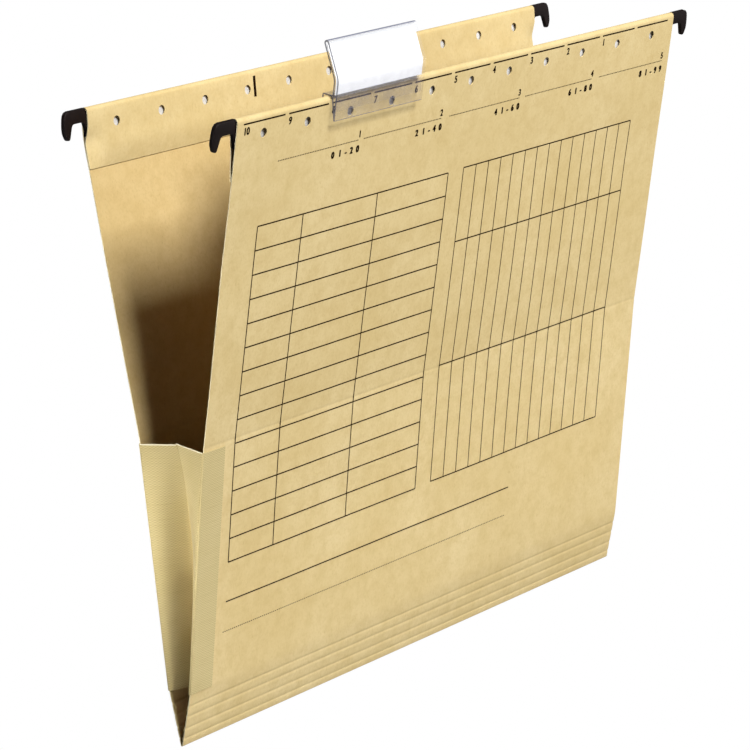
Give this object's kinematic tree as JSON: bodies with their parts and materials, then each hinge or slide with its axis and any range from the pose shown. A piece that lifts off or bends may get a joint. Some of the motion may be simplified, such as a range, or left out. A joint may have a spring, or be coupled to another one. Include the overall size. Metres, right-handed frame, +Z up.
{
  "type": "hanging document pocket",
  "caption": "Folded kraft board pocket with cloth side gussets, hung by hooked rails in its top hems, with a clear clip-in tab and paper label.",
  "frame": {"origin": "the middle of the four hook seats, where the pocket hangs on the rails of a drawer or frame", "axes": "+Z up, +X to the right when the printed front panel is faced, +Y towards the back panel"},
  "size_m": [0.3476, 0.0794, 0.2808],
  "materials": {
    "kraft_board": "natural buff kraft board, matte",
    "linen_cloth": "buff bookbinding linen, matte",
    "black_nylon": "moulded black nylon, satin",
    "rail_steel": "bright cold-rolled strip",
    "clear_plastic": "clear moulded plastic, gloss",
    "white_paper": "white label card, matte"
  },
  "bodies": {
    "front": {"front_panel": "kraft_board", "front_rail": "rail_steel", "front_left_hook": "black_nylon", "front_right_hook": "black_nylon", "left_front_flap": "linen_cloth", "right_front_flap": "linen_cloth", "tab_holder": "clear_plastic"},
    "back": {"back_panel": "kraft_board", "back_rail": "rail_steel", "back_left_hook": "black_nylon", "back_right_hook": "black_nylon", "left_back_flap": "linen_cloth", "right_back_flap": "linen_cloth"},
    "left_front_leaf": {"left_front_leaf": "linen_cloth"},
    "left_back_leaf": {"left_back_leaf": "linen_cloth"},
    "right_front_leaf": {"right_front_leaf": "linen_cloth"},
    "right_back_leaf": {"right_back_leaf": "linen_cloth"},
    "label": {"tab_label": "white_paper"}
  },
  "joints": [
    {"name": "bottom_fold", "type": "hinge", "parent": "front", "child": "back", "pos_m": [0, 0.00127, -0.2537], "axis": [1, 0, 0], "range_deg": [0, 14]},
    {"name": "left_front_leaf_fold", "type": "hinge", "parent": "front", "child": "left_front_leaf", "pos_m": [-0.16, -0.00408, -0.23125], "axis": [0, -0.1097, 0.994], "range_deg": [-75, 0], "deforming": ["left_front_leaf"]},
    {"name": "left_back_leaf_fold", "type": "hinge", "parent": "back", "child": "left_back_leaf", "pos_m": [-0.16, 0.00661, -0.23125], "axis": [0, 0.1097, 0.994], "range_deg": [0, 75], "deforming": ["left_back_leaf"]},
    {"name": "right_front_leaf_fold", "type": "hinge", "parent": "front", "child": "right_front_leaf", "pos_m": [0.16, -0.00338, -0.23125], "axis": [0, -0.1097, 0.994], "range_deg": [0, 75], "deforming": ["right_front_leaf"]},
    {"name": "right_back_leaf_fold", "type": "hinge", "parent": "back", "child": "right_back_leaf", "pos_m": [0.16, 0.00591, -0.23125], "axis": [0, 0.1097, 0.994], "range_deg": [-75, 0], "deforming": ["right_back_leaf"]},
    {"name": "label_slide", "type": "slide", "parent": "front", "child": "label", "axis": [-1, 0, 0], "range_m": [0, 0.055]}
  ],
  "couplings": [
    {"joint": "left_front_leaf_fold", "follows": "bottom_fold", "ratio": -5.3571},
    {"joint": "left_back_leaf_fold", "follows": "bottom_fold", "ratio": 5.3571},
    {"joint": "right_front_leaf_fold", "follows": "bottom_fold", "ratio": 5.3571},
    {"joint": "right_back_leaf_fold", "follows": "bottom_fold", "ratio": -5.3571}
  ]
}
